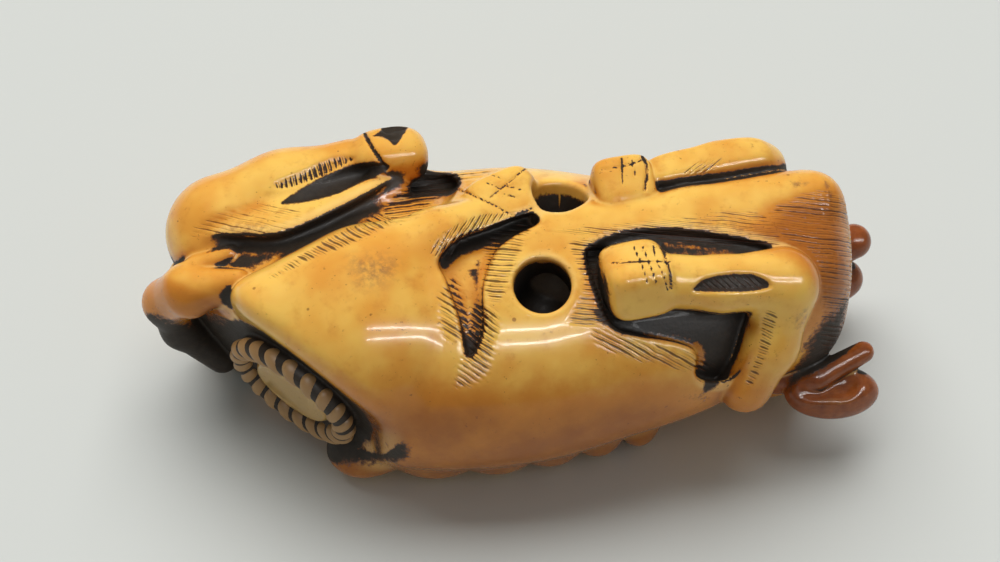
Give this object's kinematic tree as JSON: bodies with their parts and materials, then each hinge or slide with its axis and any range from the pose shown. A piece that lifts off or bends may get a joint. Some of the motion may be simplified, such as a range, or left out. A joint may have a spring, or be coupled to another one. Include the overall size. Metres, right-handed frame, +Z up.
{
  "type": "netsuke",
  "caption": "Small one-piece carved toggle: an ox lying with its legs folded, with a roped disc on the rump and two joined cord holes.",
  "frame": {"origin": "middle of the bounding box's underside", "axes": "+X from the rump to the ears, -Y to the ox's left flank, +Z up to the belly and folded legs, as it lies"},
  "size_m": [0.06, 0.0274, 0.0224],
  "materials": {
    "ivory": null
  },
  "bodies": {
    "root": {"carved_ox": "ivory"}
  },
  "joints": []
}
